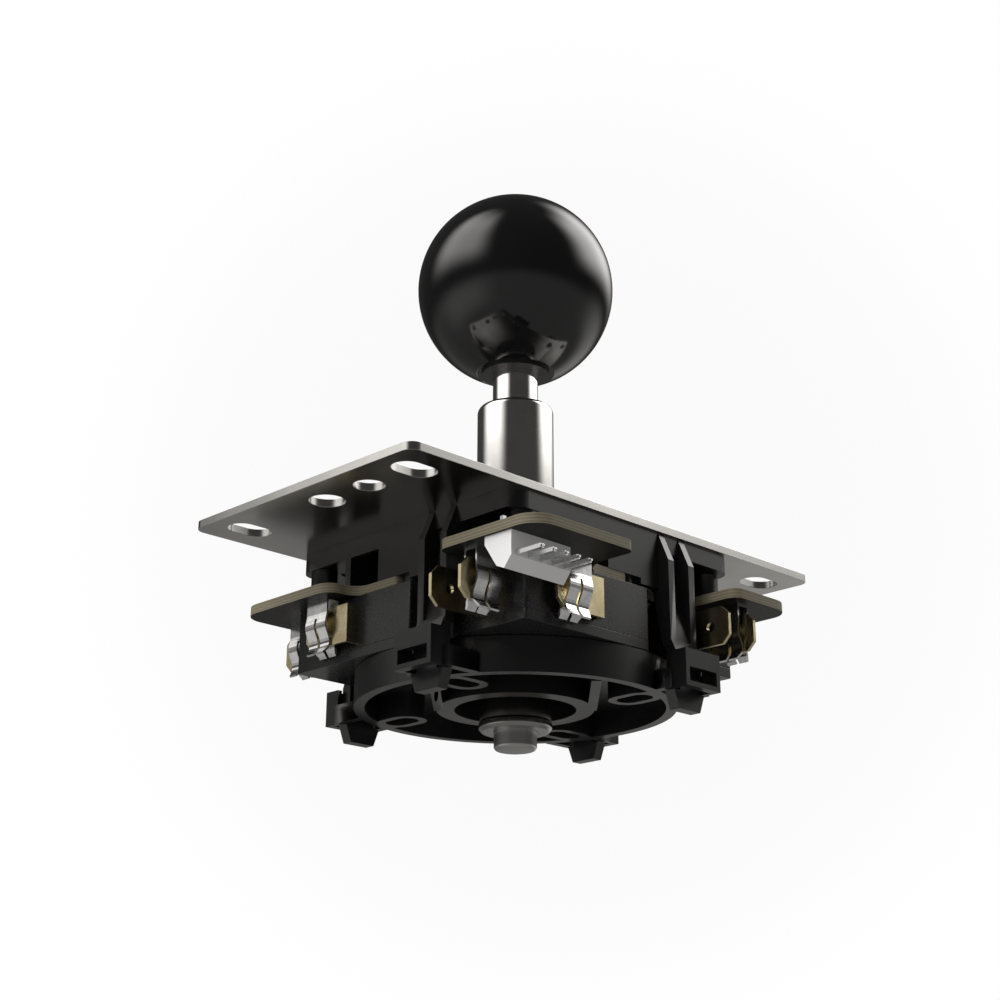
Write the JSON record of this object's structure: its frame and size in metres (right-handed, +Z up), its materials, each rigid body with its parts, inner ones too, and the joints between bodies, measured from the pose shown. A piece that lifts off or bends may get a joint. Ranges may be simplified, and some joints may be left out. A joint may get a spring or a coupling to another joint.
{
  "type": "joystick",
  "caption": "Panel lever with a ball top, a flat steel mounting plate, snap switches around the shaft, a terminal board with a white header and a clipped-on round gate.",
  "frame": {"origin": "centre of the mounting plate's slot pattern on the plate's top face, on the lever's axis at rest", "axes": "+X along the plate's long side, +Y along its short side, +Z up the shaft towards the ball"},
  "size_m": [0.095, 0.0714, 0.1007],
  "materials": {
    "plate_steel": "satin bare steel",
    "screw_steel": "blackened steel",
    "body_plastic": "satin black moulding",
    "seal_rubber": "matt black rubber",
    "board_laminate": "dark lacquer, bare tan edge",
    "header_plastic": "white moulding",
    "pin_metal": "tinned",
    "ring_plastic": "natural nylon",
    "joint_plastic": "black nylon",
    "shaft_steel": "turned and polished",
    "sleeve_steel": "turned and polished",
    "ball_plastic": "glossy black",
    "actuator_steel": "turned, darker",
    "switch_plastic": "satin black",
    "tab_brass": "pale gold plate",
    "clip_metal": "bright sprung sheet",
    "plunger_plastic": "dark red"
  },
  "bodies": {
    "frame": {"mounting_plate": "plate_steel", "plate_screws": "screw_steel", "housing": "body_plastic", "dust_seal": "seal_rubber", "circuit_board": "board_laminate", "header_shell": "header_plastic", "header_pins": "pin_metal", "gate_plate": "body_plastic", "switch_case_front": "switch_plastic", "switch_case_left": "switch_plastic", "switch_case_back": "switch_plastic", "switch_case_right": "switch_plastic", "switch_cover_front": "switch_plastic", "switch_cover_left": "switch_plastic", "switch_cover_back": "switch_plastic", "switch_cover_right": "switch_plastic", "common_tab_front": "tab_brass", "common_tab_left": "tab_brass", "common_tab_back": "tab_brass", "common_tab_right": "tab_brass", "open_tab_front": "tab_brass", "open_tab_left": "tab_brass", "open_tab_back": "tab_brass", "open_tab_right": "tab_brass", "closed_tab_front": "tab_brass", "closed_tab_left": "tab_brass", "closed_tab_back": "tab_brass", "closed_tab_right": "tab_brass", "common_clip_front": "clip_metal", "common_clip_left": "clip_metal", "common_clip_back": "clip_metal", "common_clip_right": "clip_metal", "open_clip_front": "clip_metal", "open_clip_left": "clip_metal", "open_clip_back": "clip_metal", "open_clip_right": "clip_metal"},
    "pivot": {"pivot_ring": "ring_plastic"},
    "lever": {"pivot_ball": "joint_plastic", "shaft": "shaft_steel", "sleeve": "sleeve_steel", "ball_top": "ball_plastic", "ball_insert": "screw_steel", "cam": "joint_plastic", "actuator": "actuator_steel"},
    "plunger_front": {"plunger_front": "plunger_plastic"},
    "plunger_left": {"plunger_left": "plunger_plastic"},
    "plunger_back": {"plunger_back": "plunger_plastic"},
    "plunger_right": {"plunger_right": "plunger_plastic"}
  },
  "joints": [
    {"name": "tilt_along_y", "type": "hinge", "parent": "frame", "child": "pivot", "pos_m": [0, 0, -0.003], "axis": [1, 0, 0], "range_deg": [-6.5, 6.5], "stiffness_Nm_per_rad": 0.6},
    {"name": "tilt_along_x", "type": "hinge", "parent": "pivot", "child": "lever", "pos_m": [0, 0, -0.003], "axis": [0, 1, 0], "range_deg": [-6.5, 6.5], "stiffness_Nm_per_rad": 0.6},
    {"name": "plunger_front_slide", "type": "slide", "parent": "frame", "child": "plunger_front", "axis": [0, -1, 0], "range_m": [-0.0016, 0.0016]},
    {"name": "plunger_left_slide", "type": "slide", "parent": "frame", "child": "plunger_left", "axis": [-1, 0, 0], "range_m": [-0.0016, 0.0016]},
    {"name": "plunger_back_slide", "type": "slide", "parent": "frame", "child": "plunger_back", "axis": [0, 1, 0], "range_m": [-0.0016, 0.0016]},
    {"name": "plunger_right_slide", "type": "slide", "parent": "frame", "child": "plunger_right", "axis": [1, 0, 0], "range_m": [-0.0016, 0.0016]}
  ],
  "couplings": [
    {"joint": "plunger_front_slide", "follows": "tilt_along_y", "m_per_rad": -0.01375},
    {"joint": "plunger_left_slide", "follows": "tilt_along_x", "m_per_rad": 0.01375},
    {"joint": "plunger_back_slide", "follows": "tilt_along_y", "m_per_rad": 0.01375},
    {"joint": "plunger_right_slide", "follows": "tilt_along_x", "m_per_rad": -0.01375}
  ]
}
